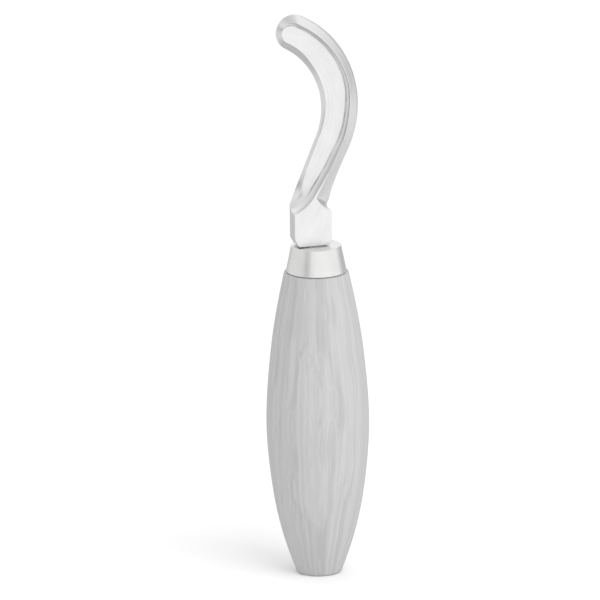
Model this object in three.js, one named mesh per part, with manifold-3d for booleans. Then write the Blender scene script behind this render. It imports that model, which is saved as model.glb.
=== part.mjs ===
// A hooked knife with a turned wooden handle.
//
// Millimetres, +Z up. The origin is the middle of the handle's flat butt, and the handle's axis is +Z.
// The blade's flat back faces +Y, its ground face faces -Y, and the tip hooks over towards -X.
// Four separate solids: the blade (hooked blade, block and tang in one forging), the ferrule, the handle
// and the cement that beds the tang.

import * as THREE from 'three';
import * as BufferGeometryUtils from 'three/addons/utils/BufferGeometryUtils.js';
import Module from 'manifold-3d';

// ---------------------------------------------------------------- driving dimensions

const GAP = 0.3;                 // clearance between neighbouring solids

const HANDLE_HEIGHT = 108.7;     // butt to the shoulder under the ferrule
const BUTT_RADIUS = 7.4;         // flat face that the knife stands on
const HANDLE_PROFILE = [         // [height, radius] of the turned barrel
  [0.6, 8.0], [9, 11.0], [22, 14.5], [38, 16.95], [54, 18.0], [72, 17.1], [90, 14.95], [HANDLE_HEIGHT, 11.3],
];
const HANDLE_STEPS = 30;
const TURNED_SIDES = 64;

const FERRULE_BOTTOM = HANDLE_HEIGHT + GAP;
const FERRULE_HEIGHT = 9.3;
const FERRULE_TOP = FERRULE_BOTTOM + FERRULE_HEIGHT;
const FERRULE_BOTTOM_RADIUS = 10.65;
const FERRULE_TOP_RADIUS = 8.75;
const FERRULE_WALL = 1.1;
const FERRULE_EDGE = 0.5;        // rounding of the top edge

const BLOCK_LEFT = -8.6;         // the block stands off centre, towards the hook
const BLOCK_RIGHT = 4.9;
const BLOCK_DEPTH = 6.0;
const BLOCK_BOTTOM = FERRULE_TOP + GAP;
const HOLLOW_START = 130.4;      // height of the hollow's lower end on the block's left side
const BEVEL_START = 131.0;       // height of the outer bevel's lower end on its right side
const SHOULDER_LEFT = [1.5, 2.8];    // width and height of the block's lower left chamfer
const SHOULDER_RIGHT = [0.8, 1.5];

const TANG_TOP = [6.0, 3.6];     // width and depth at the block
const TANG_TIP = [2.8, 2.2];
const TANG_LENGTH = 60;
const BORE_RADIUS = 5.0;
const BORE_SPARE = 4;            // depth of cement under the tang's tip
const BORE_BOTTOM = BLOCK_BOTTOM - TANG_LENGTH - BORE_SPARE;

// The blade's centre line: a straight stretch that leans to the right, then one arc to the left.
const ROOT = new THREE.Vector2(-3.81, 130);
const LEAN = THREE.MathUtils.degToRad(24.57);
const STRAIGHT = 26.3;
const HOOK_RADIUS = 31.4;
const HOOK_SWEEP = THREE.MathUtils.degToRad(86.4);
const PATH_LENGTH = STRAIGHT + HOOK_RADIUS * HOOK_SWEEP;

const TIP_RADIUS = 6.44;
const HALF_WIDTH = [5.57, 6.71, TIP_RADIUS];     // at the root, half way and at the tip
const EDGE = 0.06;               // thickness left on the cutting edge

// Round end of the blade: the rim between bevel and hollow is a smaller circle, off centre.
const RIM_RADIUS = 3.87;
const RIM_AHEAD = 0.7;
const RIM_TO_LEFT = 0.3;
const RIM_HEIGHT = 1.5;          // at the very tip
const RIM_REACH = Math.sqrt(RIM_RADIUS ** 2 - RIM_AHEAD ** 2);
const RIM_ANGLE = Math.PI / 2 + Math.asin(RIM_AHEAD / RIM_RADIUS);

// Values along the centre line, as [distance, value]. Both bevels run down to cutting edges on the back
// plane. The rib is the high line between the outer bevel and the hollow.
const RIB_START = 6.6;           // corner where the outer bevel leaves the block's face
const RIB_FREE = 17;             // from here on no block face is left between hollow and bevel
const RIB_HEIGHT = [
  [0, BLOCK_DEPTH], [RIB_FREE, BLOCK_DEPTH], [26, 4.95], [36, 3.9], [46, 3.25], [58, 2.85],
  [PATH_LENGTH, 2.6],
];
const OUTER_BEVEL = [
  [0, 5.3], [8, 5.3], [17, 5.05], [27, 4.6], [37, 4.2], [46, 3.3], [53, 3.05], [62, 3.0],
  [PATH_LENGTH, TIP_RADIUS - RIM_REACH + RIM_TO_LEFT],
];
// How far the neck widens on the right, towards the block.
const OUTER_FLARE = [[0, 1.3], [5.3, 1.35], [7.2, 1.3], [11, 0.6], [15, 0.25], [20, 0]];
const INNER_BEVEL = [
  [0.7, 0], [4.6, 1.85], [10, 1.3], [16, 0.95], [29, 0.95], [43, 1.45], [58, 1.65], [67, 2.15],
  [PATH_LENGTH, TIP_RADIUS - RIM_REACH - RIM_TO_LEFT],
];
const FLOOR_HEIGHT = [[0.7, EDGE], [4.6, 1.0], [14, 1.2], [60, 1.2], [PATH_LENGTH, 1.35]];
const COVE_WIDTH = [[0, 1.25], [16, 1.15], [30, 1.1], [46, 1.0], [PATH_LENGTH, 1.0]];
const COVE_LIMIT = 0.96;         // most of the hollow's width that the cove may take
const FLOOR_RISE = 0.4;          // share of the climb to the rib that the hollow's floor makes
const HOLLOW_SAG = 0.25;         // how much the floor dips between its two sides
const LAND = 0.16;               // flat left on top of the rib

// Lines on the block's front face, in x and z: where the hollow and the outer bevel run out of it.
const HOLLOW_BEND = new THREE.Vector2(-3.42, 132.4);
const HOLLOW_BEND_END = new THREE.Vector2(-0.95, 136.9);
const BEVEL_BEND = new THREE.Vector2(2.2, 131.5);
const NECK_BLEND = 0.8;          // rounding between the block's right side and the cutting edge

const RIB_CORNER = 0.5;          // share of the base's rings up to the corner where the outer bevel starts

const BASE_RINGS = 16;
const HOOK_RINGS = 26;
const TIP_RINGS = 10;
const FLOOR_POINTS = 4;
const COVE_POINTS = 5;
const BEVEL_POINTS = 2;

const WELD = 1e-3;               // points closer than this are one
const OVERSHOOT = 1;             // how far a cutting solid runs past the face that it cuts
const BISECTIONS = 40;

// ---------------------------------------------------------------- small helpers

const lerp = THREE.MathUtils.lerp;

// Smooth value at s from a table of [s, value].
function along(table, s) {
  const last = table.length - 1;
  if (s <= table[0][0]) return table[0][1];
  if (s >= table[last][0]) return table[last][1];
  const i = table.findIndex(([end]) => end > s) - 1;
  const slope = (j) => {
    const [s0, v0] = table[Math.max(j - 1, 0)];
    const [s1, v1] = table[Math.min(j + 1, last)];
    return (v1 - v0) / (s1 - s0);
  };
  const [s0, v0] = table[i];
  const [s1, v1] = table[i + 1];
  const span = s1 - s0;
  const t = (s - s0) / span;
  const rise = t * t * (3 - 2 * t);
  const start = t * (1 - t) ** 2 * slope(i) * span;
  const end = t * t * (t - 1) * slope(i + 1) * span;
  return lerp(v0, v1, rise) + start + end;
}

// A closed mesh from rings with the same number of points. The first and last ring close on themselves.
function loft(rings) {
  const count = rings[0].length;
  const index = [];
  for (let r = 0; r < rings.length - 1; r++) {
    for (let i = 0; i < count; i++) {
      const a = r * count + i;
      const b = r * count + (i + 1) % count;
      index.push(a, b, b + count, a, b + count, a + count);
    }
  }
  const geometry = new THREE.BufferGeometry().setFromPoints(rings.flat());
  geometry.setIndex(index);
  return withoutSlivers(BufferGeometryUtils.mergeVertices(geometry, WELD));
}

// A ring shrunk to its middle, which fills the end of a loft.
function shrunk(ring) {
  const middle = ring.reduce((sum, p) => sum.add(p), new THREE.Vector3()).divideScalar(ring.length);
  return ring.map(() => middle);
}

// Drops the triangles that lost an edge when points were merged.
function withoutSlivers(geometry) {
  const index = geometry.index.array;
  const kept = [];
  for (let i = 0; i < index.length; i += 3) {
    const [a, b, c] = [index[i], index[i + 1], index[i + 2]];
    if (a !== b && b !== c && c !== a) kept.push(a, b, c);
  }
  geometry.setIndex(kept);
  return geometry;
}

// ---------------------------------------------------------------- blade outline, in x and z

const BACK = BLOCK_DEPTH / 2;    // y of the flat back

// A place on the centre line: its point, its direction and the direction to its left.
function centreLine(s) {
  const turned = Math.max(s - STRAIGHT, 0) / HOOK_RADIUS;
  const heading = LEAN - turned;
  const ahead = new THREE.Vector2(Math.sin(heading), Math.cos(heading));
  const left = new THREE.Vector2(-ahead.y, ahead.x);
  const point = ROOT.clone();
  point.addScaledVector(new THREE.Vector2(Math.sin(LEAN), Math.cos(LEAN)), Math.min(s, STRAIGHT));
  if (turned > 0) {
    const toLeft = new THREE.Vector2(-Math.cos(LEAN), Math.sin(LEAN));
    point.addScaledVector(toLeft, HOOK_RADIUS).addScaledVector(left, -HOOK_RADIUS);
  }
  return { point, ahead, left };
}

function halfWidth(s) {
  const t = s / PATH_LENGTH;
  const [root, middle, tip] = HALF_WIDTH;
  return root * (1 - t) * (1 - 2 * t) + middle * 4 * t * (1 - t) + tip * t * (2 * t - 1);
}

function beside(s, toLeft) {
  const { point, left } = centreLine(s);
  return point.addScaledVector(left, toLeft);
}

const innerEdge = (s) => beside(s, halfWidth(s));
const outerEdge = (s) => beside(s, -halfWidth(s) - along(OUTER_FLARE, s));
const innerRim = (s) => beside(s, halfWidth(s) - along(INNER_BEVEL, s));
const outerRim = (s) => beside(s, along(OUTER_BEVEL, s) - halfWidth(s));

// Distance along the centre line at which an edge crosses a side of the block.
function crossing(edge, x) {
  let [low, high] = [0, STRAIGHT];
  for (let i = 0; i < BISECTIONS; i++) {
    const middle = (low + high) / 2;
    if (edge(middle).x < x) low = middle;
    else high = middle;
  }
  return low;
}

const INNER_START = crossing(innerEdge, BLOCK_LEFT);
const OUTER_START = crossing(outerEdge, BLOCK_RIGHT);

// ---------------------------------------------------------------- blade sections

// One ring around the blade. Each place is a point in x and z, and heights are measured from the back.
function bladeRing({ edgeLeft, rimLeft, floor, ribLeft, ribRight, rib, cove, edgeRight, dish }) {
  const at = (p, height) => new THREE.Vector3(p.x, BACK - height, p.y);
  const bevel = (edge, rim, top, v) => at(edge.clone().lerp(rim, v), lerp(EDGE, top, v));
  const ring = [at(edgeLeft, 0), at(edgeLeft, EDGE)];
  for (let i = 1; i <= BEVEL_POINTS; i++) {
    ring.push(bevel(edgeLeft, rimLeft, floor, i / (BEVEL_POINTS + 1)));
  }
  ring.push(at(rimLeft, floor));
  const span = rimLeft.distanceTo(ribLeft);
  const coveShare = span > 0 ? Math.min(cove / span, COVE_LIMIT) : COVE_LIMIT;
  const height = (v) => {
    const rise = (rib - floor) * FLOOR_RISE * v;
    const sag = HOLLOW_SAG * dish * Math.sin(Math.PI * v);
    const x = THREE.MathUtils.clamp((v - 1 + coveShare) / coveShare, 0, 1);
    const wall = (rib - floor) * (1 - FLOOR_RISE) * (1 - Math.sqrt(1 - x * x));
    return floor + rise - sag + wall;
  };
  for (let i = 1; i <= FLOOR_POINTS; i++) {
    const v = (1 - coveShare) * i / FLOOR_POINTS;
    ring.push(at(rimLeft.clone().lerp(ribLeft, v), height(v)));
  }
  for (let i = 1; i <= COVE_POINTS; i++) {
    const v = 1 - coveShare + coveShare * Math.sin(Math.PI / 2 * i / COVE_POINTS);
    ring.push(at(rimLeft.clone().lerp(ribLeft, v), height(v)));
  }
  ring.push(at(ribRight, rib));
  for (let i = BEVEL_POINTS; i >= 1; i--) {
    ring.push(bevel(edgeRight, ribRight, rib, i / (BEVEL_POINTS + 1)));
  }
  ring.push(at(edgeRight, EDGE), at(edgeRight, 0));
  return ring;
}

// From the block's corners up to where the rib stands free. t runs from 0 to 1.
function baseRing(t) {
  const first = Math.min(t / RIB_CORNER, 1);
  const second = Math.max(t - RIB_CORNER, 0) / (1 - RIB_CORNER);
  const landEnd = beside(RIB_FREE, along(OUTER_BEVEL, RIB_FREE) - halfWidth(RIB_FREE) + LAND);

  const hollowLine = new THREE.QuadraticBezierCurve(
    new THREE.Vector2(BLOCK_LEFT, HOLLOW_START), HOLLOW_BEND, HOLLOW_BEND_END);
  const bevelLine = new THREE.QuadraticBezierCurve(
    new THREE.Vector2(BLOCK_RIGHT, BEVEL_START), BEVEL_BEND, outerRim(RIB_START));
  const corner = outerEdge(OUTER_START);
  const neckLine = new THREE.QuadraticBezierCurve(
    new THREE.Vector2(corner.x, corner.y - NECK_BLEND), corner, outerEdge(OUTER_START + NECK_BLEND));

  const s = lerp(INNER_START, RIB_FREE, t);
  return bladeRing({
    edgeLeft: innerEdge(s),
    rimLeft: t > 0 ? innerRim(s) : innerEdge(s),
    floor: t > 0 ? along(FLOOR_HEIGHT, s) : EDGE,
    ribLeft: second > 0 ? HOLLOW_BEND_END.clone().lerp(landEnd, second) : hollowLine.getPoint(first),
    ribRight: second > 0 ? outerRim(lerp(RIB_START, RIB_FREE, second)) : bevelLine.getPoint(first),
    rib: BLOCK_DEPTH,
    cove: along(COVE_WIDTH, s),
    edgeRight: second > 0
      ? outerEdge(lerp(OUTER_START + NECK_BLEND, RIB_FREE, second))
      : neckLine.getPoint(first),
    dish: t,
  });
}

function hookRing(s) {
  return bladeRing({
    edgeLeft: innerEdge(s),
    rimLeft: innerRim(s),
    floor: along(FLOOR_HEIGHT, s),
    ribLeft: beside(s, along(OUTER_BEVEL, s) - halfWidth(s) + LAND),
    ribRight: outerRim(s),
    rib: along(RIB_HEIGHT, s),
    cove: along(COVE_WIDTH, s),
    edgeRight: outerEdge(s),
    dish: 1,
  });
}

// Round the tip. t runs from 0, across the end of the centre line, to 1 at the very tip.
function tipRing(t) {
  const { point, ahead, left } = centreLine(PATH_LENGTH);
  const around = (centre, radius, angle) => centre.clone()
    .addScaledVector(ahead, radius * Math.cos(angle))
    .addScaledVector(left, radius * Math.sin(angle));
  const rimCentre = point.clone().addScaledVector(ahead, RIM_AHEAD).addScaledVector(left, RIM_TO_LEFT);
  const edgeAngle = (Math.PI / 2) * (1 - t);
  const rimAngle = RIM_ANGLE * (1 - t);
  return bladeRing({
    edgeLeft: around(point, TIP_RADIUS, edgeAngle),
    rimLeft: around(rimCentre, RIM_RADIUS, rimAngle),
    floor: lerp(along(FLOOR_HEIGHT, PATH_LENGTH), RIM_HEIGHT, t),
    ribLeft: around(rimCentre, RIM_RADIUS - LAND * (1 - t), -rimAngle),
    ribRight: around(rimCentre, RIM_RADIUS, -rimAngle),
    rib: lerp(along(RIB_HEIGHT, PATH_LENGTH), RIM_HEIGHT, Math.sin(Math.PI / 2 * t)),
    cove: along(COVE_WIDTH, PATH_LENGTH),
    edgeRight: around(point, TIP_RADIUS, -edgeAngle),
    dish: 1 - t,
  });
}

// The block and the tang are rings too: a box section whose side points keep the heights of the ring
// above, so that the rings join point to point.
function boxRing(pattern, { left, right, front, back, zLeft, zRight }) {
  const ribLeft = 2 + BEVEL_POINTS + FLOOR_POINTS + COVE_POINTS;
  return pattern.map(({ y }, i) => {
    const share = (BACK - y) / BLOCK_DEPTH;
    const onLeft = i <= ribLeft;
    return new THREE.Vector3(onLeft ? left : right, lerp(back, front, share), onLeft ? zLeft : zRight);
  });
}

function tangRing(pattern, [width, depth], z) {
  return boxRing(pattern, {
    left: -width / 2, right: width / 2, front: -depth / 2, back: depth / 2, zLeft: z, zRight: z,
  });
}

function bladeGeometry() {
  const first = baseRing(0);
  const block = { left: BLOCK_LEFT, right: BLOCK_RIGHT, front: -BACK, back: BACK };
  const shoulder = {
    ...block, left: BLOCK_LEFT + SHOULDER_LEFT[0], right: BLOCK_RIGHT - SHOULDER_RIGHT[0],
  };
  const tangTip = tangRing(first, TANG_TIP, BLOCK_BOTTOM - TANG_LENGTH);
  const rings = [
    shrunk(tangTip),
    tangTip,
    tangRing(first, TANG_TOP, BLOCK_BOTTOM),
    boxRing(first, { ...shoulder, zLeft: BLOCK_BOTTOM, zRight: BLOCK_BOTTOM }),
    boxRing(first, {
      ...block, zLeft: BLOCK_BOTTOM + SHOULDER_LEFT[1], zRight: BLOCK_BOTTOM + SHOULDER_RIGHT[1],
    }),
    boxRing(first, { ...block, zLeft: HOLLOW_START, zRight: BEVEL_START }),
  ];
  for (let i = 0; i < BASE_RINGS; i++) rings.push(baseRing(i / BASE_RINGS));
  for (let i = 0; i < HOOK_RINGS; i++) rings.push(hookRing(lerp(RIB_FREE, PATH_LENGTH, i / HOOK_RINGS)));
  for (let i = 0; i <= TIP_RINGS; i++) rings.push(tipRing(i / TIP_RINGS));
  return loft(rings);
}

// ---------------------------------------------------------------- turned parts

// A solid of revolution from [radius, height] points that start and end on the axis, or close.
function turned(points, sides = TURNED_SIDES) {
  const profile = points.map(([radius, z]) => new THREE.Vector2(radius, z));
  const geometry = new THREE.LatheGeometry(profile, sides);
  geometry.rotateX(Math.PI / 2);
  geometry.deleteAttribute('normal');
  geometry.deleteAttribute('uv');
  return withoutSlivers(BufferGeometryUtils.mergeVertices(geometry, WELD));
}

const ferruleRadius = (z) => lerp(
  FERRULE_BOTTOM_RADIUS, FERRULE_TOP_RADIUS, (z - FERRULE_BOTTOM) / FERRULE_HEIGHT);

// Closed cone with a rounded top edge, hollow below, before the slot for the tang is cut.
function ferruleBlank() {
  const inside = FERRULE_TOP - FERRULE_WALL;
  const rounding = [0, 30, 60, 90].map((degrees) => {
    const angle = THREE.MathUtils.degToRad(degrees);
    const z = FERRULE_TOP - FERRULE_EDGE * (1 - Math.sin(angle));
    return [ferruleRadius(z) - FERRULE_EDGE * (1 - Math.cos(angle)), z];
  });
  return turned([
    [0, inside],
    [ferruleRadius(inside) - FERRULE_WALL, inside],
    [FERRULE_BOTTOM_RADIUS - FERRULE_WALL, FERRULE_BOTTOM],
    [FERRULE_BOTTOM_RADIUS, FERRULE_BOTTOM],
    ...rounding,
    [0, FERRULE_TOP],
  ]);
}

// Barrel, shoulder, spigot and bore in one profile.
function handleGeometry() {
  const spigotTop = FERRULE_TOP - FERRULE_WALL - GAP;
  const outline = new THREE.SplineCurve(HANDLE_PROFILE.map(([z, radius]) => new THREE.Vector2(radius, z)));
  const barrel = outline.getPoints(HANDLE_STEPS).map(({ x, y }) => [x, y]);
  return turned([
    [0, 0],
    [BUTT_RADIUS, 0],
    ...barrel,
    [ferruleRadius(HANDLE_HEIGHT) - FERRULE_WALL - GAP, HANDLE_HEIGHT],
    [ferruleRadius(spigotTop) - FERRULE_WALL - GAP, spigotTop],
    [BORE_RADIUS, spigotTop],
    [BORE_RADIUS, BORE_BOTTOM],
    [0, BORE_BOTTOM],
  ]);
}

// ---------------------------------------------------------------- cuts

const wasm = await Module();
wasm.setup();

function solid(geometry) {
  return new wasm.Manifold(new wasm.Mesh({
    numProp: 3,
    vertProperties: new Float32Array(geometry.attributes.position.array),
    triVerts: new Uint32Array(geometry.index.array),
  }));
}

function asGeometry(manifold) {
  const { vertProperties, triVerts, numProp } = manifold.getMesh();
  const geometry = new THREE.BufferGeometry();
  const position = new Float32Array(vertProperties.length / numProp * 3);
  for (let i = 0; i < position.length / 3; i++) {
    position.set(vertProperties.subarray(i * numProp, i * numProp + 3), i * 3);
  }
  geometry.setAttribute('position', new THREE.BufferAttribute(position, 3));
  geometry.setIndex([...triVerts]);
  return geometry;
}

// The tang's taper, grown by a margin on every side, between two heights.
function tangSpace(margin, bottom, top) {
  const section = (z) => {
    const t = (BLOCK_BOTTOM - z) / TANG_LENGTH;
    const halfWidthHere = lerp(TANG_TOP[0], TANG_TIP[0], t) / 2 + margin;
    const halfDepthHere = lerp(TANG_TOP[1], TANG_TIP[1], t) / 2 + margin;
    return [[1, 1], [-1, 1], [-1, -1], [1, -1]].map(([x, y]) => (
      new THREE.Vector3(x * halfWidthHere, y * halfDepthHere, z)));
  };
  return loft([shrunk(section(bottom)), section(bottom), section(top), shrunk(section(top))]);
}

function ferruleGeometry() {
  const slot = tangSpace(GAP, FERRULE_TOP - FERRULE_WALL - OVERSHOOT, FERRULE_TOP + OVERSHOOT);
  return asGeometry(solid(ferruleBlank()).subtract(solid(slot)));
}

function cementGeometry() {
  const bottom = BORE_BOTTOM + GAP;
  const top = FERRULE_TOP - FERRULE_WALL - GAP;
  const radius = BORE_RADIUS - GAP;
  const plug = turned([[0, bottom], [radius, bottom], [radius, top], [0, top]], TURNED_SIDES / 2);
  const space = tangSpace(GAP, BLOCK_BOTTOM - TANG_LENGTH - GAP, top + OVERSHOOT);
  return asGeometry(solid(plug).subtract(solid(space)));
}

// ---------------------------------------------------------------- the knife

const steel = new THREE.MeshStandardMaterial({ color: 0xd8d9db, roughness: 0.32, metalness: 1 });
const nickel = new THREE.MeshStandardMaterial({ color: 0xdedede, roughness: 0.38, metalness: 1 });
const wood = new THREE.MeshStandardMaterial({ color: 0xc4c2be, roughness: 0.6, metalness: 0 });
const cement = new THREE.MeshStandardMaterial({ color: 0x4a3a2c, roughness: 0.7, metalness: 0 });

function piece(name, geometry, material) {
  geometry.computeVertexNormals();
  const mesh = new THREE.Mesh(geometry, material);
  mesh.name = name;
  return mesh;
}

const knife = new THREE.Group();
knife.add(piece('handle', handleGeometry(), wood));
knife.add(piece('ferrule', ferruleGeometry(), nickel));
knife.add(piece('tang_cement', cementGeometry(), cement));
knife.add(piece('blade', bladeGeometry(), steel));

export default knife;
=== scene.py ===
"""A hooked knife with a turned wooden handle: its fine surfaces, materials, light and camera."""

import math

import bmesh
import bpy
import numpy as np
from mathutils import Matrix, Vector


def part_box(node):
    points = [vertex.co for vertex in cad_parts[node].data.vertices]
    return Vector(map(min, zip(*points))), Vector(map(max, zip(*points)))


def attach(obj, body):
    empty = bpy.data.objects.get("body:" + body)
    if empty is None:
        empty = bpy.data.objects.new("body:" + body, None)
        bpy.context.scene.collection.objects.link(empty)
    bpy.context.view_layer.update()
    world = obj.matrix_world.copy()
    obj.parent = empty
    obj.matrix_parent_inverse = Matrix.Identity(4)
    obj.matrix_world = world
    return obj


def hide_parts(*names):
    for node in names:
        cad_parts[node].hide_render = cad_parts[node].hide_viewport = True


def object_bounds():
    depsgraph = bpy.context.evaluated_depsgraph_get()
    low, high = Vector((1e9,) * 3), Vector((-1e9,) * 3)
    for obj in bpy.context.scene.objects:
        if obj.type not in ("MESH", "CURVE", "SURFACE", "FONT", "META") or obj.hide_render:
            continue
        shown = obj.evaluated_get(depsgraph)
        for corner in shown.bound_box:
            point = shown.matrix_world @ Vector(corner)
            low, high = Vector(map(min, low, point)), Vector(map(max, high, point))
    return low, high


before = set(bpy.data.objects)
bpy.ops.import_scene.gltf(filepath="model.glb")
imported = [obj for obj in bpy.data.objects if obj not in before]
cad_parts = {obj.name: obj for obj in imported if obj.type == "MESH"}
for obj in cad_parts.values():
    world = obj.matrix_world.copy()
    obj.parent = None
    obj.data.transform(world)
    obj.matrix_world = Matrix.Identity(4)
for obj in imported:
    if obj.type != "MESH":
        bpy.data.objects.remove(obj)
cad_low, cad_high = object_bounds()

# ---------------------------------------------------------------- sizes, in millimetres

MM = 0.001                      # metres in a millimetre
GAP = 0.3                       # clearance between neighbouring solids


def box_mm(node):
    low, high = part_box(node)
    return np.array(low) / MM, np.array(high) / MM


BLADE_LOW, BLADE_HIGH = box_mm("blade")
FERRULE_LOW, FERRULE_HIGH = box_mm("ferrule")
HANDLE_LOW, HANDLE_HIGH = box_mm("handle")
CEMENT_LOW, CEMENT_HIGH = box_mm("tang_cement")

# Handle
HANDLE_TOP = FERRULE_LOW[2] - GAP
BARREL_RADIUS = HANDLE_HIGH[0]
BUTT_RADIUS = 7.4
BUTT_CIRCLES = [2.5, 5]         # radii of circles that divide the flat butt
AXIS_FACE = 0.02                # radius of the tiny face in the middle of a turned end
HANDLE_PROFILE = [              # [height, radius] of the turned barrel
    [0.6, 8.0], [9, 11.0], [22, 14.5], [38, 16.95], [54, 18.0], [72, 17.1], [90, 14.95], [HANDLE_TOP, 11.3],
]
HANDLE_RINGS = 130
TURNED_SIDES = 176
GRAIN_RADIUS = 14.0             # radius at which the grain has its true size
BUTT_ROUNDING = 0.35
SHOULDER_ROUNDING = 0.45

# Ferrule
FERRULE_BOTTOM_RADIUS = FERRULE_HIGH[0]
FERRULE_TOP_RADIUS = 8.75
FERRULE_WALL = 1.1
FERRULE_TOP_ROUNDING = 0.6
FERRULE_LOW_ROUNDING = 0.2
FERRULE_RINGS = 26
FERRULE_CIRCLES = [7, 5.2]      # radii of circles that divide its flat top round the slot
SLOT_ROUNDING = 0.15
BORE_RADIUS = CEMENT_HIGH[0] + GAP
BORE_BOTTOM = CEMENT_LOW[2] - GAP

# Block under the blade, and tang
BACK = BLADE_HIGH[1]            # y of the flat back
BLOCK_DEPTH = BACK - BLADE_LOW[1]
BLOCK_LEFT = -8.6
BLOCK_RIGHT = 4.9
BLOCK_BOTTOM = FERRULE_HIGH[2] + GAP
HOLLOW_START = 130.4            # height of the hollow's lower end on the block's left side
BEVEL_START = 131.0             # height of the outer bevel's lower end on its right side
SHOULDER_LEFT = [1.5, 2.8]      # width and height of the block's lower left chamfer
SHOULDER_RIGHT = [0.8, 1.5]
TANG_TOP = [6.0, 3.6]           # width and depth at the block
TANG_TIP = [2.8, 2.2]
TANG_BOTTOM = BLADE_LOW[2]

# The blade's centre line: a straight stretch that leans to the right, then one arc to the left
ROOT = np.array([-3.81, 130.0])
LEAN = math.radians(24.57)
STRAIGHT = 26.3
HOOK_RADIUS = 31.4
HOOK_SWEEP = math.radians(86.4)
PATH_LENGTH = STRAIGHT + HOOK_RADIUS * HOOK_SWEEP

TIP_RADIUS = 6.44
HALF_WIDTH = [5.57, 6.71, TIP_RADIUS]    # at the root, half way and at the tip
RIM_RADIUS = 3.87               # round end of the rim between bevel and hollow, off centre
RIM_AHEAD = 0.7
RIM_TO_LEFT = 0.3
RIM_HEIGHT = 1.5                # at the very tip
RIM_REACH = math.sqrt(RIM_RADIUS ** 2 - RIM_AHEAD ** 2)
RIM_ANGLE = math.pi / 2 + math.asin(RIM_AHEAD / RIM_RADIUS)

# Values along the centre line, as [distance, value]
RIB_START = 6.6                 # corner where the outer bevel leaves the block's face
RIB_FREE = 17                   # from here on no block face is left between hollow and bevel
RIB_CORNER = 0.5                # share of the base's rings up to RIB_START
RIB_HEIGHT = [
    [0, BLOCK_DEPTH], [RIB_FREE, BLOCK_DEPTH], [26, 4.95], [36, 3.9], [46, 3.25], [58, 2.85],
    [PATH_LENGTH, 2.6],
]
OUTER_BEVEL = [
    [0, 5.3], [8, 5.3], [17, 5.05], [27, 4.6], [37, 4.2], [46, 3.3], [53, 3.05], [62, 3.0],
    [PATH_LENGTH, TIP_RADIUS - RIM_REACH + RIM_TO_LEFT],
]
# How far the neck widens on the right, towards the block
OUTER_FLARE = [[0, 1.3], [5.3, 1.35], [7.2, 1.3], [11, 0.6], [15, 0.25], [20, 0]]
INNER_BEVEL = [
    [0.7, 0], [4.6, 1.85], [10, 1.3], [16, 0.95], [29, 0.95], [43, 1.45], [58, 1.65], [67, 2.15],
    [PATH_LENGTH, TIP_RADIUS - RIM_REACH - RIM_TO_LEFT],
]
FLOOR_HEIGHT = [[0.7, 0.02], [4.6, 1.0], [14, 1.2], [60, 1.2], [PATH_LENGTH, 1.35]]
COVE_WIDTH = [[0, 1.25], [16, 1.15], [30, 1.1], [46, 1.0], [PATH_LENGTH, 1.0]]
COVE_LIMIT = 0.96               # most of the hollow's width that the cove may take
FLOOR_RISE = 0.4                # share of the climb to the rib that the hollow's floor makes
HOLLOW_SAG = 0.25               # how much the floor dips between its two sides
LAND = 0.16                     # flat left on top of the rib
HONE_WIDTH = 0.45               # narrow steeper facet that the whetstone leaves along the edges
HONE_LIMIT = 0.4                # most of the bevel's width that it may take
HONE_STEEPNESS = 1.35           # its slope, against the bevel's
HONE_START = 15.0               # where it begins, and over what length it grows
HONE_GROWTH = 8.0

# Lines on the block's front face, in x and z: where the hollow and the outer bevel run out of it
HOLLOW_BEND = np.array([-3.42, 132.4])
HOLLOW_BEND_END = np.array([-0.95, 136.9])
BEVEL_BEND = np.array([2.2, 131.5])
NECK_BLEND = 0.8                # rounding between the block's right side and the cutting edge

CREASE_SHADE_WIDTH = 0.35            # painted shade: a dark line in the crease at the foot of the hollow's steep side
CREASE_SHADE_START = 3.0
CREASE_SHADE_GROWTH = 6.0

# Rounding of the blade's corners
KEEN = 0.03                     # cutting edges
CRISP = 0.11                    # rims and rib
SOFT = 0.3                      # block
SOFT_END = 0.3                  # share of the base's rings over which the block's rounding fades
TANG_TIP_ROUNDING = 0.3
BLOCK_FOOT_ROUNDING = 0.22
CHAMFER_ROUNDING = 0.5
BLOCK_TOP_ROUNDING = 0.16

# How finely the blade is divided
END_SHRINK = 0.01               # size of the face that closes the tang's tip, as a share of the tip
TANG_RINGS = 6
FOOT_RINGS = 2                  # on the chamfers at the block's foot
BLOCK_RINGS = 12
BLOCK_TOP_GAP = 0.7             # from the block's last ring up to the hollow and the bevel
BASE_RINGS = 74
HOOK_RINGS = 210
TIP_RINGS = 40
FLOOR_POINTS = 14
FLOOR_CROWDING = 1.6            # above 1, the floor's points crowd towards the cove
COVE_POINTS = 12
BEVEL_POINTS = 9
BACK_POINTS = 11

# ---------------------------------------------------------------- small helpers

TINY = 1e-9                     # keeps a division away from zero
CORNER_REACH = 0.45             # most of the way to its neighbour that a rounding may take
CORNER_STEPS = [0, 0.25, 0.5, 0.75, 1]
BISECTIONS = 40


def lerp(a, b, t):
    return a + (b - a) * t


def smooth(t):
    t = min(max(t, 0), 1)
    return t * t * (3 - 2 * t)


def bezier(a, b, c, t):
    return a * (1 - t) ** 2 + b * 2 * t * (1 - t) + c * t * t


def along(table, s):
    """Smooth value at s from a table of [s, value]."""
    last = len(table) - 1
    if s <= table[0][0]:
        return table[0][1]
    if s >= table[last][0]:
        return table[last][1]
    i = next(k for k, (end, _) in enumerate(table) if end > s) - 1

    def slope(j):
        (s0, v0), (s1, v1) = table[max(j - 1, 0)], table[min(j + 1, last)]
        return (v1 - v0) / (s1 - s0)

    (s0, v0), (s1, v1) = table[i], table[i + 1]
    span = s1 - s0
    t = (s - s0) / span
    rise = t * t * (3 - 2 * t)
    return lerp(v0, v1, rise) + t * (1 - t) ** 2 * slope(i) * span + t * t * (t - 1) * slope(i + 1) * span


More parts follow.
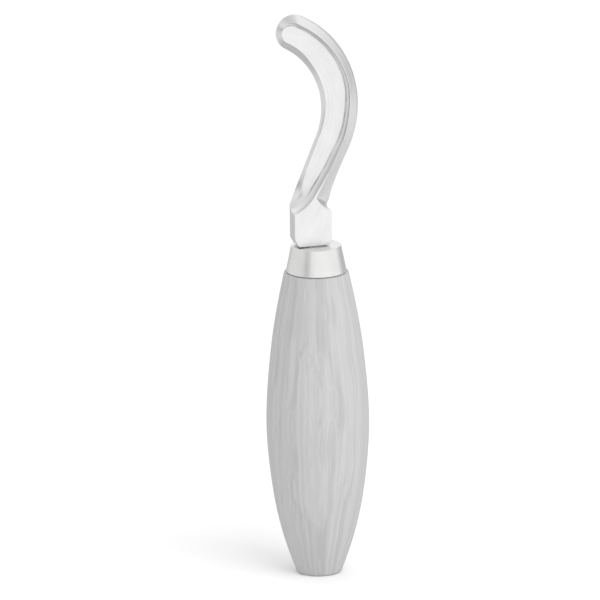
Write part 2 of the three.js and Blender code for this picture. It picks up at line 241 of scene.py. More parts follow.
def toward(here, there, distance):
    """Moves each point of here towards there by a distance, or by less where they are close."""
    step = there - here
    length = np.linalg.norm(step, axis=-1, keepdims=True)
    share = np.minimum(distance / np.maximum(length, TINY), CORNER_REACH)
    return here + step * share


def softened(chain, corners, closed=False):
    """A chain of points, or of rings, with a small curve in place of each corner {index: radius}."""
    out = []
    for i, here in enumerate(chain):
        radius = corners.get(i)
        if radius is None:
            out.append(here)
            continue
        follower = (i + 1) % len(chain) if closed else i + 1
        before = toward(here, chain[i - 1], radius)
        after = toward(here, chain[follower], radius)
        out += [bezier(before, here, after, t) for t in CORNER_STEPS]
    return np.array(out)


# ---------------------------------------------------------------- meshes

WELD = 2e-6                     # points closer than this many metres are one


def grid_mesh(name, rings, ring_loop=False):
    """A closed mesh from rings of points in millimetres: a loop of rings, or a chain with closed ends."""
    rings = np.array(rings, float)
    count, width = rings.shape[:2]
    rows = count if ring_loop else count - 1
    faces = []
    for r in range(rows):
        low, high = r * width, (r + 1) % count * width
        for i in range(width):
            j = (i + 1) % width
            faces.append((low + i, low + j, high + j, high + i))
    if not ring_loop:
        faces.append(tuple(reversed(range(width))))
        faces.append(tuple((count - 1) * width + i for i in range(width)))
    mesh = bpy.data.meshes.new(name)
    mesh.from_pydata((rings.reshape(-1, 3) * MM).tolist(), [], faces)
    return mesh


def finished(name, mesh, node, material):
    """Welds the mesh, turns its faces outwards, shades it smooth and puts it in place of the CAD node."""
    work = bmesh.new()
    work.from_mesh(mesh)
    bmesh.ops.remove_doubles(work, verts=work.verts, dist=WELD)
    bmesh.ops.dissolve_degenerate(work, edges=work.edges, dist=WELD / 2)
    bmesh.ops.recalc_face_normals(work, faces=work.faces)
    for face in work.faces:
        face.smooth = True
    work.to_mesh(mesh)
    work.free()
    mesh.materials.append(material)
    piece = bpy.data.objects.new(name, mesh)
    bpy.context.scene.collection.objects.link(piece)
    piece.modifiers.new("even_shading", "WEIGHTED_NORMAL")
    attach(piece, "root")
    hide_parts(node)
    return piece


def point_attribute(mesh, name, values):
    """A vector or a number stored on each vertex, for the material to read."""
    values = np.asarray(values, np.float32)
    kind, field = ("FLOAT_VECTOR", "vector") if values.ndim == 2 else ("FLOAT", "value")
    mesh.attributes.new(name, kind, "POINT").data.foreach_set(field, values.ravel())


# ---------------------------------------------------------------- blade outline, in x and z


def centre_line(s):
    """A point on the centre line, the line's direction there and the direction to its left."""
    turned = max(s - STRAIGHT, 0) / HOOK_RADIUS
    heading = LEAN - turned
    ahead = np.array([math.sin(heading), math.cos(heading)])
    left = np.array([-ahead[1], ahead[0]])
    point = ROOT + np.array([math.sin(LEAN), math.cos(LEAN)]) * min(s, STRAIGHT)
    if turned > 0:
        point = point + (np.array([-math.cos(LEAN), math.sin(LEAN)]) - left) * HOOK_RADIUS
    return point, ahead, left


def half_width(s):
    t = s / PATH_LENGTH
    root, middle, tip = HALF_WIDTH
    return root * (1 - t) * (1 - 2 * t) + middle * 4 * t * (1 - t) + tip * t * (2 * t - 1)


def beside(s, to_left):
    point, _, left = centre_line(s)
    return point + left * to_left


def inner_edge(s):
    return beside(s, half_width(s))


def outer_edge(s):
    return beside(s, -half_width(s) - along(OUTER_FLARE, s))


def inner_rim(s):
    return beside(s, half_width(s) - along(INNER_BEVEL, s))


def outer_rim(s):
    return beside(s, along(OUTER_BEVEL, s) - half_width(s))


def crossing(edge, x):
    """Distance along the centre line at which an edge crosses a side of the block."""
    low, high = 0, STRAIGHT
    for _ in range(BISECTIONS):
        middle = (low + high) / 2
        if edge(middle)[0] < x:
            low = middle
        else:
            high = middle
    return low


INNER_START = crossing(inner_edge, BLOCK_LEFT)
OUTER_START = crossing(outer_edge, BLOCK_RIGHT)

# ---------------------------------------------------------------- blade sections


def at(p, height):
    return np.array([p[0], BACK - height, p[1]])


def spread(a, b, count):
    """Points between a and b, without a and b. They may be whole rings of points too."""
    return [lerp(a, b, i / (count + 1)) for i in range(1, count + 1)]


LEFT_EDGE = 0
RIM = LEFT_EDGE + BEVEL_POINTS + 2
RIB_LEFT = RIM + FLOOR_POINTS + COVE_POINTS
RIB_RIGHT = RIB_LEFT + 1
RIGHT_EDGE = RIB_RIGHT + BEVEL_POINTS + 2
EXTRA = len(CORNER_STEPS) - 1    # points that a softened corner adds to a ring
COVE_FOOT = RIM + FLOOR_POINTS + 2 * EXTRA
OUTER_BEVEL_COLUMNS = range(RIB_RIGHT + 1 + 4 * EXTRA, RIGHT_EDGE + 4 * EXTRA)
NECK_RINGS = 62                 # how far up the blade the outer bevel is evened out
NECK_ROUNDS = 220
NECK_EASING = 0.6               # how far each round moves a point towards the middle of its neighbours


def honed(edge, top, height, honing):
    """Where the honed facet beside an edge meets the bevel, which climbs to a height at its top."""
    share = min(HONE_WIDTH / max(np.linalg.norm(top - edge), TINY), HONE_LIMIT)
    return at(lerp(edge, top, share), height * share * lerp(1, HONE_STEEPNESS, honing))


def section(edge_left, rim, floor, rib_left, rib_right, rib, cove, edge_right, dish, honing, rounding):
    """One ring around the blade. Places are points in x and z, and heights are measured from the back."""
    left, right = at(edge_left, 0), at(edge_right, 0)
    hone_left = honed(edge_left, rim, floor, honing)
    hone_right = honed(edge_right, rib_right, rib, honing)
    ring = [left, hone_left, *spread(hone_left, at(rim, floor), BEVEL_POINTS), at(rim, floor)]
    span = np.linalg.norm(rib_left - rim)
    cove_share = min(cove / span, COVE_LIMIT) if span > 0 else COVE_LIMIT

    def hollow(v):
        x = min(max((v - 1 + cove_share) / cove_share, 0), 1)
        wall = (rib - floor) * (1 - FLOOR_RISE) * (1 - math.sqrt(1 - x * x))
        sag = HOLLOW_SAG * dish * math.sin(math.pi * v)
        return at(lerp(rim, rib_left, v), floor + (rib - floor) * FLOOR_RISE * v - sag + wall)

    for i in range(1, FLOOR_POINTS + 1):
        ring.append(hollow((1 - cove_share) * (1 - (1 - i / FLOOR_POINTS) ** FLOOR_CROWDING)))
    for i in range(1, COVE_POINTS + 1):
        ring.append(hollow(1 - cove_share + cove_share * math.sin(math.pi / 2 * i / COVE_POINTS)))
    ring += [at(rib_right, rib), *spread(at(rib_right, rib), hone_right, BEVEL_POINTS), hone_right, right]
    ring += spread(right, left, BACK_POINTS)
    keen, rim_radius, rib_radius = rounding
    corners = {
        LEFT_EDGE: keen, RIM: rim_radius, RIB_LEFT: rib_radius, RIB_RIGHT: rib_radius, RIGHT_EDGE: keen,
    }
    return softened(np.array(ring), corners, closed=True)


def honing(s):
    return smooth((s - HONE_START) / HONE_GROWTH)


def base_section(t):
    """From the block's corners up to where the rib stands free. t runs from 0 to 1."""
    first = min(t / RIB_CORNER, 1)
    second = max(t - RIB_CORNER, 0) / (1 - RIB_CORNER)
    land_end = beside(RIB_FREE, along(OUTER_BEVEL, RIB_FREE) - half_width(RIB_FREE) + LAND)
    s = lerp(INNER_START, RIB_FREE, t)
    if second > 0:
        rib_left = lerp(HOLLOW_BEND_END, land_end, second)
        rib_right = outer_rim(lerp(RIB_START, RIB_FREE, second))
        edge_right = outer_edge(lerp(OUTER_START + NECK_BLEND, RIB_FREE, second))
    else:
        corner = outer_edge(OUTER_START)
        below = corner - np.array([0, NECK_BLEND])
        rib_left = bezier(np.array([BLOCK_LEFT, HOLLOW_START]), HOLLOW_BEND, HOLLOW_BEND_END, first)
        rib_right = bezier(np.array([BLOCK_RIGHT, BEVEL_START]), BEVEL_BEND, outer_rim(RIB_START), first)
        edge_right = bezier(below, corner, outer_edge(OUTER_START + NECK_BLEND), first)
    blend = smooth(t / SOFT_END)
    rounding = lerp(np.array([SOFT, CRISP, SOFT]), np.array([KEEN, CRISP, CRISP]), blend)
    rim = inner_rim(s) if t > 0 else inner_edge(s)
    floor = along(FLOOR_HEIGHT, s) if t > 0 else FLOOR_HEIGHT[0][1]
    return section(
        inner_edge(s), rim, floor, rib_left, rib_right, BLOCK_DEPTH, along(COVE_WIDTH, s), edge_right, t,
        honing(s), rounding)


def hook_section(s):
    rib_left = beside(s, along(OUTER_BEVEL, s) - half_width(s) + LAND)
    return section(
        inner_edge(s), inner_rim(s), along(FLOOR_HEIGHT, s), rib_left, outer_rim(s), along(RIB_HEIGHT, s),
        along(COVE_WIDTH, s), outer_edge(s), 1, honing(s), (KEEN, CRISP, CRISP))


def tip_section(t):
    """Round the tip. t runs from 0, across the end of the centre line, to 1 at the very tip."""
    point, ahead, left = centre_line(PATH_LENGTH)

    def around(centre, radius, angle):
        return centre + ahead * radius * math.cos(angle) + left * radius * math.sin(angle)

    rim_centre = point + ahead * RIM_AHEAD + left * RIM_TO_LEFT
    edge_angle = math.pi / 2 * (1 - t)
    rim_angle = RIM_ANGLE * (1 - t)
    floor = lerp(along(FLOOR_HEIGHT, PATH_LENGTH), RIM_HEIGHT, t)
    rib = lerp(along(RIB_HEIGHT, PATH_LENGTH), RIM_HEIGHT, math.sin(math.pi / 2 * t))
    rib_left = around(rim_centre, RIM_RADIUS - LAND * (1 - t), -rim_angle)
    rib_right = around(rim_centre, RIM_RADIUS, -rim_angle)
    return section(
        around(point, TIP_RADIUS, edge_angle), around(rim_centre, RIM_RADIUS, rim_angle), floor,
        rib_left, rib_right, rib, along(COVE_WIDTH, PATH_LENGTH), around(point, TIP_RADIUS, -edge_angle),
        1 - t, 1, (KEEN, CRISP, CRISP))


def box_section(pattern, low, high, z_left, z_right):
    """A ring round the block or tang: the footprint of the blade's first ring, fitted to another box."""
    block_low, block_high = np.array([BLOCK_LEFT, -BACK]), np.array([BLOCK_RIGHT, BACK])
    share = (pattern[:, :2] - block_low) / (block_high - block_low)
    across = np.array(low) + share * (np.array(high) - np.array(low))
    return np.column_stack([across, lerp(z_left, z_right, share[:, 0])])


def centred_section(pattern, size, z):
    half = np.array(size) / 2
    return box_section(pattern, -half, half, z, z)


def relaxed(rings, rows, columns, rounds):
    """Evens out a patch of the grid, between its fixed borders, so that no crease is left in it."""
    for _ in range(rounds):
        patch = rings[rows.start:rows.stop, columns.start:columns.stop]
        above = rings[rows.start + 1:rows.stop + 1, columns.start:columns.stop]
        below = rings[rows.start - 1:rows.stop - 1, columns.start:columns.stop]
        before = rings[rows.start:rows.stop, columns.start - 1:columns.stop - 1]
        after = rings[rows.start:rows.stop, columns.start + 1:columns.stop + 1]
        rings[rows.start:rows.stop, columns.start:columns.stop] = lerp(
            patch, (above + below + before + after) / 4, NECK_EASING)
    return rings


def blade_rings():
    first = base_section(0)
    sides = ([BLOCK_LEFT, -BACK], [BLOCK_RIGHT, BACK])
    drawn_in = ([BLOCK_LEFT + SHOULDER_LEFT[0], -BACK], [BLOCK_RIGHT - SHOULDER_RIGHT[0], BACK])
    tip = centred_section(first, TANG_TIP, TANG_BOTTOM)
    root = centred_section(first, TANG_TOP, BLOCK_BOTTOM)
    foot = box_section(first, *drawn_in, BLOCK_BOTTOM, BLOCK_BOTTOM)
    low = box_section(first, *sides, BLOCK_BOTTOM + SHOULDER_LEFT[1], BLOCK_BOTTOM + SHOULDER_RIGHT[1])
    high = box_section(first, *sides, HOLLOW_START - BLOCK_TOP_GAP, BEVEL_START - BLOCK_TOP_GAP)
    middle = tip.mean(axis=0)
    rings = [lerp(middle, tip, END_SHRINK), tip, *spread(tip, root, TANG_RINGS), root, foot]
    foot_at = len(rings) - 1
    rings += [*spread(foot, low, FOOT_RINGS), low, *spread(low, high, BLOCK_RINGS), high]
    chamfer_at = foot_at + FOOT_RINGS + 1
    corners = {
        1: TANG_TIP_ROUNDING, foot_at: BLOCK_FOOT_ROUNDING, chamfer_at: CHAMFER_ROUNDING,
        len(rings): BLOCK_TOP_ROUNDING,
    }
    neck = range(len(rings) + 1, len(rings) + NECK_RINGS)
    rings += [base_section(i / BASE_RINGS) for i in range(BASE_RINGS)]
    rings += [hook_section(lerp(RIB_FREE, PATH_LENGTH, i / HOOK_RINGS)) for i in range(HOOK_RINGS)]
    rings += [tip_section(i / TIP_RINGS) for i in range(TIP_RINGS + 1)]
    rings = relaxed(np.array(rings), neck, OUTER_BEVEL_COLUMNS, NECK_ROUNDS)
    return softened(rings, corners)


def straightened(points):
    """Coordinates that run with the blade: along the centre line, to its left and off the back."""
    x, y, z = points.T
    direction = np.array([math.sin(LEAN), math.cos(LEAN)])
    to_left = np.array([-direction[1], direction[0]])
    off = np.column_stack([x, z]) - ROOT
    s, n = off @ direction, off @ to_left
    centre = ROOT + direction * STRAIGHT + to_left * HOOK_RADIUS
    spoke = np.column_stack([x, z]) - centre
    turned = np.arctan2(spoke @ direction, -(spoke @ to_left))
    bent = s > STRAIGHT
    s = np.where(bent, STRAIGHT + HOOK_RADIUS * turned, s)
    n = np.where(bent, HOOK_RADIUS - np.linalg.norm(spoke, axis=1), n)
    return np.column_stack([s, n, BACK - y])


def painted_crease_shade(rings, along_blade):
    """How much painted shade darkens the crease at the foot of the hollow's steep side, from 0 to 1."""
    away = np.linalg.norm(rings - rings[:, COVE_FOOT:COVE_FOOT + 1], axis=2).ravel()
    grown = np.clip((along_blade - CREASE_SHADE_START) / CREASE_SHADE_GROWTH, 0, 1)
    return np.exp(-(away / CREASE_SHADE_WIDTH) ** 2) * grown


def make_blade(material):
    rings = blade_rings()
    mesh = grid_mesh("blade_ground", rings)
    with_blade = straightened(rings.reshape(-1, 3))
    point_attribute(mesh, "straightened", with_blade)
    # painted shade: a mask that darkens the crease at the foot of the hollow
    point_attribute(mesh, "painted_crease_shade", painted_crease_shade(rings, with_blade[:, 0]))
    return finished("blade_ground", mesh, "blade", material)


# ---------------------------------------------------------------- turned parts


def smooth_profile(table, count):
    """Heights and radii of a smooth curve through a table of [height, radius]: a natural cubic spline."""
    z, r = np.array(table, float).T
    n = len(z)
    step = np.diff(z)
    system = np.eye(n)
    right = np.zeros(n)
    for i in range(1, n - 1):
        system[i, i - 1:i + 2] = step[i - 1], 2 * (step[i - 1] + step[i]), step[i]
        right[i] = 6 * ((r[i + 1] - r[i]) / step[i] - (r[i] - r[i - 1]) / step[i - 1])
    bend = np.linalg.solve(system, right)
    heights = np.linspace(z[0], z[-1], count)
    i = np.clip(np.searchsorted(z, heights) - 1, 0, n - 2)
    a, b = (z[i + 1] - heights) / step[i], (heights - z[i]) / step[i]
    curve = ((a ** 3 - a) * bend[i] + (b ** 3 - b) * bend[i + 1]) * step[i] ** 2 / 6
    radii = a * r[i] + b * r[i + 1] + curve
    return np.column_stack([np.minimum(radii, BARREL_RADIUS), heights])


def round_angles(count):
    """Evenly spaced angles for the points of a circle."""
    return np.arange(count) / count * 2 * math.pi


def turned_rings(profile):
    """Circles round the axis from [radius, height] points."""
    angle = round_angles(TURNED_SIDES)
    return np.array([
        np.column_stack([r * np.cos(angle), r * np.sin(angle), np.full(TURNED_SIDES, z)])
        for r, z in profile])


def ferrule_radius(z):
    low, high = FERRULE_LOW[2], FERRULE_HIGH[2]
    return lerp(FERRULE_BOTTOM_RADIUS, FERRULE_TOP_RADIUS, (z - low) / (high - low))


def along_the_barrel(points, barrel):
    """Coordinates in which the barrel is a straight cylinder, so that its grain follows the swell."""
    radius = np.interp(points[:, 2], barrel[:, 1], barrel[:, 0])
    return points * np.column_stack([GRAIN_RADIUS / radius, GRAIN_RADIUS / radius, np.ones(len(points))])


def make_handle(material):
    spigot_top = FERRULE_HIGH[2] - FERRULE_WALL - GAP
    barrel = smooth_profile(HANDLE_PROFILE, HANDLE_RINGS)
    profile = [
        [AXIS_FACE, 0], *([radius, 0] for radius in BUTT_CIRCLES), [BUTT_RADIUS, 0],
        *barrel,
        [ferrule_radius(HANDLE_TOP) - FERRULE_WALL - GAP, HANDLE_TOP],
        [ferrule_radius(spigot_top) - FERRULE_WALL - GAP, spigot_top],
        [BORE_RADIUS, spigot_top],
        [BORE_RADIUS, BORE_BOTTOM],
        [AXIS_FACE, BORE_BOTTOM],
    ]
    butt = 1 + len(BUTT_CIRCLES)
    shoulder = butt + HANDLE_RINGS
    profile = softened(np.array(profile), {butt: BUTT_ROUNDING, shoulder: SHOULDER_ROUNDING})
    rings = turned_rings(profile)
    mesh = grid_mesh("handle_turned", rings)
    point_attribute(mesh, "grain", along_the_barrel(rings.reshape(-1, 3), barrel))
    return finished("handle_turned", mesh, "handle", material)


def slot_ring(size, z):
    """A rectangular ring with as many points as a turned one, at the same angles."""
    half = np.array(size) / 2
    angle = round_angles(TURNED_SIDES)
    direction = np.column_stack([np.cos(angle), np.sin(angle)])
    reach = np.min(half / np.maximum(np.abs(direction), TINY), axis=1)
    return np.column_stack([direction * reach[:, None], np.full(TURNED_SIDES, z)])


def make_ferrule(material):
    low, high = FERRULE_LOW[2], FERRULE_HIGH[2]
    inside = high - FERRULE_WALL
    wall = [[ferrule_radius(z), z] for z in np.linspace(low, high, FERRULE_RINGS)]
    outer = turned_rings([*wall, *([radius, high] for radius in FERRULE_CIRCLES)])
    slot_size = np.array(TANG_TOP) + 2 * GAP
    slot = [slot_ring(slot_size, z) for z in (high, inside)]
    under = turned_rings([
        [FERRULE_CIRCLES[-1], inside],
        [ferrule_radius(inside) - FERRULE_WALL, inside],
        [FERRULE_BOTTOM_RADIUS - FERRULE_WALL, low],
    ])
    rings = np.array([*outer, *slot, *under])
    top = FERRULE_RINGS - 1
    slot_edge = top + len(FERRULE_CIRCLES) + 1
    corners = {0: FERRULE_LOW_ROUNDING, top: FERRULE_TOP_ROUNDING, slot_edge: SLOT_ROUNDING}
    rings = softened(rings, corners, closed=True)
    mesh = grid_mesh("ferrule_turned", rings, ring_loop=True)
    return finished("ferrule_turned", mesh, "ferrule", material)


# ---------------------------------------------------------------- materials

# How fine the noises are, in features along x, y and z: per millimetre in the coordinates that run
# with the blade or with the barrel, and per metre elsewhere
STEEL_LINES = (0.05, 4.5, 4.5)
STEEL_CLOUD = (0.12, 0.3, 0.3)
TURNING_LINES = (30, 30, 5200)
FERRULE_CLOUD = (140, 140, 140)
WOOD_WANDER = (0.05, 0.05, 0.02)
WOOD_STREAKS = (0.7, 0.7, 0.011)
WOOD_FIBRES = (5.5, 5.5, 0.12)
WOOD_PORES = (4.2, 4.2, 0.3)
CEMENT_GRAIN = (900, 900, 900)

# Colours, as (noise, grey) or (noise, colour)
STEEL_GREYS = [(0, 0.3), (0.3, 0.69), (0.5, 0.77), (0.7, 0.84)]
FERRULE_GREYS = [(0.3, 0.71), (0.7, 0.84)]
FERRULE_WARMTH = 0.005
LATE_WOOD = [(0.0, 0.4), (0.62, 0.52), (0.9, 0.9), (1.0, 0.4)]      # from one ring of the tree to the next
WOOD_GREYS = [(0.14, 0.435), (0.27, 0.49), (0.4, 0.535)]
CEMENT_BROWNS = [(0.35, (0.07, 0.045, 0.028)), (0.65, (0.16, 0.11, 0.07))]
FLOOR_GREY = 0.96
CREASE_SHADE_DARKENING = 0.4         # how much of the steel's noise the painted shade in that crease takes away

# Roughness at the low and the high end of a noise
STEEL_ROUGHNESS = (0.2, 0.34)
FERRULE_ROUGHNESS = (0.22, 0.36)
WOOD_ROUGHNESS = (0.46, 0.6)
CEMENT_ROUGHNESS = (0.6, 0.85)
FLOOR_ROUGHNESS = 0.9

# Depth of the bump in metres, and its strength
STEEL_BUMP = (0.00002, 0.35)
FERRULE_BUMP = (0.00002, 0.3)
WOOD_BUMP = (0.0001, 0.4)
CEMENT_BUMP = (0.0002, 0.6)

PITH = (9, 26, 0)               # middle of the tree's rings, in the wood's own coordinates
RING_SPACING = 2.6              # of the tree's rings, in the same units
WANDER = 1.6                    # how far the grain strays sideways
SLIP_NOISE = 1.7                # how fine the noise is that shifts streaks, fibres and pores lengthways
STREAK_SLIP = 5                 # how far it shifts them at most, in their own lengths
FIBRE_SLIP = 30


class Nodes:
    """A material's node tree, with short names for what is done often."""

    def __init__(self, name):
        self.material = bpy.data.materials.new(name)
        self.material.use_nodes = True
        self.tree = self.material.node_tree
        self.shader = self.tree.nodes["Principled BSDF"]

    def node(self, kind, inputs=None, **settings):
        node = self.tree.nodes.new(kind)
        for key, value in settings.items():
            setattr(node, key, value)
        for key, value in (inputs or {}).items():
            if isinstance(value, bpy.types.NodeSocket):
                self.tree.links.new(value, node.inputs[key])
            else:
                node.inputs[key].default_value = value
        return node

    def coordinates(self, scale, attribute=None):
        """Object coordinates in metres, or an attribute, stretched by a scale."""
        if attribute:
            source = self.node("ShaderNodeAttribute", attribute_name=attribute).outputs["Vector"]
        else:
            source = self.node("ShaderNodeTexCoord").outputs["Object"]
        return self.node("ShaderNodeMapping", {"Vector": source, "Scale": scale}).outputs["Vector"]

    def slipped(self, vector, amount):
        """Coordinates in which each streak starts at a height of its own, so that no bands show across."""
        flat = self.node("ShaderNodeMapping", {"Vector": vector, "Scale": (1, 1, 0)}).outputs["Vector"]
        slip = self.sum(self.noise(flat, SLIP_NOISE, 2), amount, "MULTIPLY")
        offset = self.node("ShaderNodeCombineXYZ", {"Z": slip}).outputs["Vector"]
        return self.node("ShaderNodeVectorMath", {0: vector, 1: offset}, operation="ADD").outputs["Vector"]

    def noise(self, vector, scale=1.0, detail=3.0, roughness=0.5):
        return self.node("ShaderNodeTexNoise", {
            "Vector": vector, "Scale": scale, "Detail": detail, "Roughness": roughness,
        }).outputs["Fac"]

    def span(self, value, low, high, to_low, to_high):
        """Maps a value from one range to another, held at both ends."""
        return self.node("ShaderNodeMapRange", {
            "Value": value, "From Min": low, "From Max": high, "To Min": to_low, "To Max": to_high,
        }).outputs["Result"]

    def sum(self, a, b, operation="ADD"):
        return self.node("ShaderNodeMath", {0: a, 1: b}, operation=operation).outputs[0]

    def weighed(self, a, weight_a, b, weight_b):
        """The sum of two values, each multiplied by a weight."""
        return self.sum(self.sum(a, weight_a, "MULTIPLY"), self.sum(b, weight_b, "MULTIPLY"))

    def colours(self, factor, stops):
        """A colour ramp with stops of (position, colour)."""
        ramp = self.node("ShaderNodeValToRGB", {"Fac": factor})
        elements = ramp.color_ramp.elements
        while len(elements) < len(stops):
            elements.new(0.5)
        for element, (position, colour) in zip(elements, stops):
            element.position = position
            element.color = (*colour, 1)
        return ramp.outputs["Color"]

    def greys(self, factor, stops, warmth=0.0):
        return self.colours(factor, [(position, grey(value, warmth)) for position, value in stops])

    def connect(self, **inputs):
        for key, value in inputs.items():
            self.tree.links.new(value, self.shader.inputs[key.replace("_", " ")])

    def bump(self, height, distance, strength=1.0):
        normal = self.node("ShaderNodeBump", {"Height": height, "Distance": distance, "Strength": strength})
        self.connect(Normal=normal.outputs["Normal"])


def grey(value, warmth=0.0):
    """A grey, with more red and less blue in it by a share."""
    return (value * (1 + warmth), value, value * (1 - warmth))


def steel_material():
    """Satin ground steel with fine lines along the blade, faint clouds and painted shade in the crease at
    the foot of the hollow.
    """
    m = Nodes("ground_steel")
    m.shader.inputs["Metallic"].default_value = 1.0
    lines = m.noise(m.coordinates(STEEL_LINES, "straightened"), 1.0, 4, 0.6)
    cloud = m.noise(m.coordinates(STEEL_CLOUD, "straightened"), 1.0, 2, 0.5)
    mixed = m.weighed(lines, 0.6, cloud, 0.4)
    # painted shade: the steel is darkened along the crease at the foot of the hollow
    crease_shade_amount = m.node("ShaderNodeAttribute", attribute_name="painted_crease_shade").outputs["Fac"]
    shade = m.sum(mixed, m.sum(crease_shade_amount, -CREASE_SHADE_DARKENING, "MULTIPLY"))
    m.connect(Base_Color=m.greys(shade, STEEL_GREYS))
    m.connect(Roughness=m.span(mixed, 0.3, 0.7, *STEEL_ROUGHNESS))
    m.bump(m.sum(lines, m.sum(cloud, 5, "MULTIPLY")), *STEEL_BUMP)
    return m.material


def ferrule_material():
    """Satin turned metal, with lines round the axis."""
    m = Nodes("turned_metal")
    m.shader.inputs["Metallic"].default_value = 1.0
    lines = m.noise(m.coordinates(TURNING_LINES), 1.0, 4, 0.6)
    cloud = m.noise(m.coordinates(FERRULE_CLOUD), 1.0, 3, 0.5)
    mixed = m.weighed(lines, 0.55, cloud, 0.45)
    m.connect(Base_Color=m.greys(mixed, FERRULE_GREYS, FERRULE_WARMTH))
    m.connect(Roughness=m.span(mixed, 0.3, 0.7, *FERRULE_ROUGHNESS))
    m.bump(lines, *FERRULE_BUMP)
    return m.material


def wood_material():
    """Pale grey-toned wood, with its grain along the handle."""
    m = Nodes("grey_wood")
    wander = m.noise(m.coordinates(WOOD_WANDER, "grain"), 1.0, 2)
    offset = m.span(wander, 0.25, 0.75, -WANDER, WANDER)
    aside = m.node("ShaderNodeCombineXYZ", {"X": offset, "Y": offset}).outputs["Vector"]

    def wandering(scale):
        """The wood's coordinates, set aside by the wander and then stretched by a scale."""
        grain = m.node("ShaderNodeAttribute", attribute_name="grain").outputs["Vector"]
        moved = m.node("ShaderNodeVectorMath", {0: grain, 1: aside}, operation="ADD").outputs["Vector"]
        return m.node("ShaderNodeMapping", {"Vector": moved, "Scale": scale}).outputs["Vector"]

    across = wandering((1, 1, 0))
    from_pith = m.node("ShaderNodeVectorMath", {0: across, 1: PITH}, operation="DISTANCE").outputs["Value"]
    ring = m.sum(m.sum(from_pith, RING_SPACING, "DIVIDE"), 1.0, "FRACT")
    late = m.greys(ring, LATE_WOOD)
    streaks = m.noise(m.slipped(wandering(WOOD_STREAKS), STREAK_SLIP), 1.0, 3, 0.6)
    fibres = m.noise(m.slipped(wandering(WOOD_FIBRES), FIBRE_SLIP), 1.0, 2, 0.6)
    pores = m.noise(m.slipped(wandering(WOOD_PORES), FIBRE_SLIP), 1.0, 1, 0.5)
    mixed = m.weighed(streaks, 0.75, late, -0.2)
    base = m.greys(mixed, WOOD_GREYS)
    dark = m.sum(m.span(fibres, 0.3, 0.42, 0.85, 1.0), m.span(pores, 0.66, 0.74, 1.0, 0.72), "MULTIPLY")
    colour = m.node("ShaderNodeMix", {0: 1.0, 6: base, 7: dark}, data_type="RGBA", blend_type="MULTIPLY")
    m.connect(Base_Color=colour.outputs[2])
    m.connect(Roughness=m.span(mixed, 0.16, 0.4, *WOOD_ROUGHNESS))
    m.bump(m.sum(dark, m.sum(fibres, 0.4, "MULTIPLY")), *WOOD_BUMP)
    return m.material


def cement_material():
    """Dark grainy cutler's cement."""
    m = Nodes("cutlers_cement")
    grain = m.noise(m.coordinates(CEMENT_GRAIN), 1.0, 5, 0.6)
    m.connect(Base_Color=m.colours(grain, CEMENT_BROWNS))
    m.connect(Roughness=m.span(grain, 0.3, 0.7, *CEMENT_ROUGHNESS))
    m.bump(grain, *CEMENT_BUMP)
    return m.material


def floor_material():
    m = Nodes("pale_floor")
    m.shader.inputs["Base Color"].default_value = (*grey(FLOOR_GREY), 1)
    m.shader.inputs["Roughness"].default_value = FLOOR_ROUGHNESS
    m.shader.inputs["Specular IOR Level"].default_value = 0.1
    return m.material


# ---------------------------------------------------------------- stage, light and camera

# The camera looks from the front left, a little from above, through a long lens.
VIEW_AZIMUTH = math.radians(-17)
VIEW_ELEVATION = math.radians(15)
VIEW_ROLL = 0.010
VIEW_WIDTH = 0.2097             # what the picture is across, at the object
VIEW_DISTANCE = 8.0
VIEW_CLIP = (0.1, 50)
AIM_RIGHT, AIM_UP = -0.00675, 0.0949     # from the middle of the butt to the picture's centre
SENSOR = 36.0                   # the sensor's width, in millimetres
FLOOR_RADIUS = 1.1              # past that the floor would be dimmer than the tent
FLOOR_SIDES = 96

KEY_PLACE = (0.5, -1.35, 1.55)
KEY_SIZE = 1.6
KEY_POWER = 17
TENT = 1.08                     # brightness of the light tent
# Patches of the tent: direction, angle inside which a patch is full, angle where it ends, brightness
PATCHES = [
    ((0, 0, -1), 40, 80, 0.62),              # darker table
    ((-1, 0.1, 0), 35, 75, 0.88),            # dimmer left wall
    ((-0.82, -0.57, 0.13), 6, 15, 0.5),      # narrow dark strip on it
    ((0.85, 0.48, 0.2), 14, 40, 0.55),       # dark screen to the right
    ((0.1, 0.93, -0.36), 12, 52, 0.62),      # dark screen low behind
    ((0.28, 0.92, 0.26), 10, 25, 1.05),      # light above that screen
    ((0.28, -0.92, -0.26), 15, 40, 1.15),    # light card in front
    ((-0.15, -0.42, 0.85), 15, 40, 0.75),    # dimmer cloth overhead
]


def view_axes():
    a, e = VIEW_AZIMUTH, VIEW_ELEVATION
    back = Vector((math.sin(a) * math.cos(e), -math.cos(a) * math.cos(e), math.sin(e)))
    right = Vector((math.cos(a), math.sin(a), 0))
    up = back.cross(right)
    roll = Matrix.Rotation(-VIEW_ROLL, 3, back)
    return roll @ right, roll @ up, back


def make_camera():
    right, up, back = view_axes()
    data = bpy.data.cameras.new("camera")
    data.sensor_width = SENSOR
    data.lens = SENSOR * VIEW_DISTANCE / VIEW_WIDTH
    data.clip_start, data.clip_end = VIEW_CLIP
    camera = bpy.data.objects.new("camera", data)
    middle = (cad_low + cad_high) / 2
    aim = right * AIM_RIGHT + up * AIM_UP + back * middle.dot(back)
    turned = Matrix((right, up, back)).transposed().to_4x4()
    camera.matrix_world = Matrix.Translation(aim + back * VIEW_DISTANCE) @ turned
    bpy.context.scene.collection.objects.link(camera)
    bpy.context.scene.camera = camera


def make_floor():
    mesh = bpy.data.meshes.new("floor")
    corners = [
        (FLOOR_RADIUS * math.cos(turn), FLOOR_RADIUS * math.sin(turn), 0)
        for turn in round_angles(FLOOR_SIDES)
    ]
    mesh.from_pydata(corners, [], [range(FLOOR_SIDES)])
    mesh.materials.append(floor_material())
    floor = bpy.data.objects.new("floor", mesh)
    floor.visible_glossy = False
    bpy.context.scene.collection.objects.link(floor)


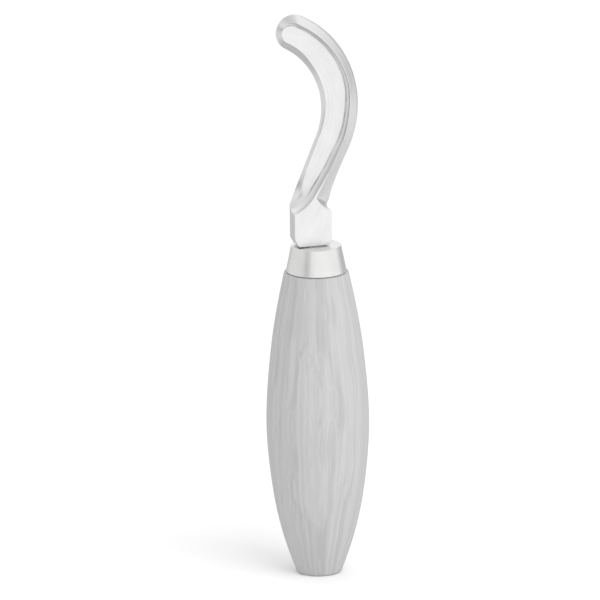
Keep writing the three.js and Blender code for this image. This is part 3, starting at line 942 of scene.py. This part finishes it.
def area_light(name, place, size, power):
    """A square soft light at a place, facing the middle of the object."""
    data = bpy.data.lights.new(name, "AREA")
    data.size = size
    data.energy = power
    light = bpy.data.objects.new(name, data)
    middle = (cad_low + cad_high) / 2
    light.location = place
    light.rotation_mode = "QUATERNION"
    light.rotation_quaternion = (middle - Vector(place)).to_track_quat("-Z", "Y")
    light.visible_glossy = False
    bpy.context.scene.collection.objects.link(light)


def make_world():
    """A light tent: even light from all round, with PATCHES that the camera itself doesn't see."""
    world = bpy.data.worlds.new("studio")
    world.use_nodes = True
    tree = world.node_tree
    direction = tree.nodes.new("ShaderNodeTexCoord").outputs["Generated"]
    plain = tree.nodes.new("ShaderNodeValue")
    plain.outputs[0].default_value = TENT
    brightness = plain.outputs[0]
    for towards, inner, outer, value in PATCHES:
        dot = tree.nodes.new("ShaderNodeVectorMath")
        dot.operation = "DOT_PRODUCT"
        tree.links.new(direction, dot.inputs[0])
        dot.inputs[1].default_value = Vector(towards).normalized()
        inside = tree.nodes.new("ShaderNodeMapRange")
        inside.interpolation_type = "SMOOTHSTEP"
        inside.inputs["From Min"].default_value = math.cos(math.radians(outer))
        inside.inputs["From Max"].default_value = math.cos(math.radians(inner))
        tree.links.new(dot.outputs["Value"], inside.inputs["Value"])
        patch = tree.nodes.new("ShaderNodeMix")
        tree.links.new(inside.outputs["Result"], patch.inputs["Factor"])
        tree.links.new(brightness, patch.inputs["A"])
        patch.inputs["B"].default_value = value
        brightness = patch.outputs["Result"]
    seen = tree.nodes.new("ShaderNodeMix")
    tree.links.new(tree.nodes.new("ShaderNodeLightPath").outputs["Is Camera Ray"], seen.inputs["Factor"])
    tree.links.new(brightness, seen.inputs["A"])
    seen.inputs["B"].default_value = TENT
    background = tree.nodes["Background"]
    tree.links.new(seen.outputs["Result"], background.inputs["Strength"])
    background.inputs["Color"].default_value = (1, 1, 1, 1)
    bpy.context.scene.world = world


# ---------------------------------------------------------------- the knife

make_camera()
make_floor()
make_world()
area_light("key", KEY_PLACE, KEY_SIZE, KEY_POWER)
bpy.context.scene.view_settings.view_transform = "Standard"

make_blade(steel_material())
make_handle(wood_material())
make_ferrule(ferrule_material())
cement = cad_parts["tang_cement"]
cement.data.materials.clear()
cement.data.materials.append(cement_material())
